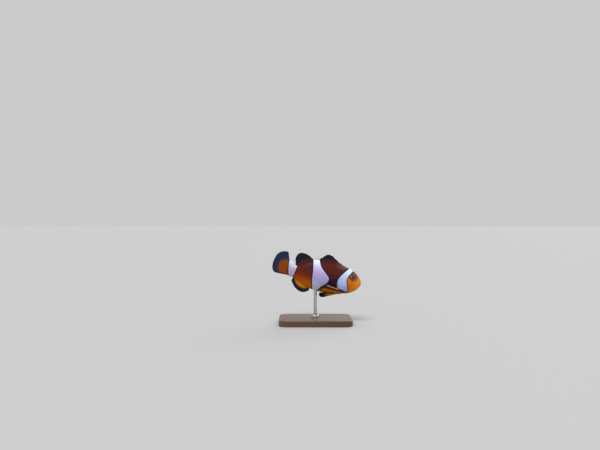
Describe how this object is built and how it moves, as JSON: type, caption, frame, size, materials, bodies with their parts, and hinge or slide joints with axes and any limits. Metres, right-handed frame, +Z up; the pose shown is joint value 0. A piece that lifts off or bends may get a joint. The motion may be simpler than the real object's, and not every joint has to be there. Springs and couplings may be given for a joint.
{
  "type": "clownfish model on a display stand",
  "caption": "Life-size still model of a dark-bodied false clownfish, swimming head down with its tail swept aside, held by an upright rod on a flat wooden base.",
  "frame": {"origin": "centre of the underside of the stand's base", "axes": "+X towards the fish's head, +Z up, the fish's right side faces -Y"},
  "size_m": [0.0768, 0.042, 0.062],
  "materials": {
    "skin": "satin",
    "fin": "satin",
    "eye": "gloss",
    "base_wood": "satin",
    "rod_steel": "satin"
  },
  "bodies": {
    "root": {"head": "skin", "lower_jaw": "skin", "gill_cover_left": "skin", "gill_cover_right": "skin", "trunk": "skin", "tail_stalk": "skin", "dorsal_fin_spiny": "fin", "dorsal_fin_soft": "fin", "anal_fin": "fin", "caudal_fin": "fin", "pectoral_fin_left": "fin", "pectoral_fin_right": "fin", "pelvic_fin_left": "fin", "pelvic_fin_right": "fin", "eye_left": "eye", "eye_right": "eye", "stand_base": "base_wood", "stand_rod": "rod_steel", "stand_collar": "rod_steel"}
  },
  "joints": []
}
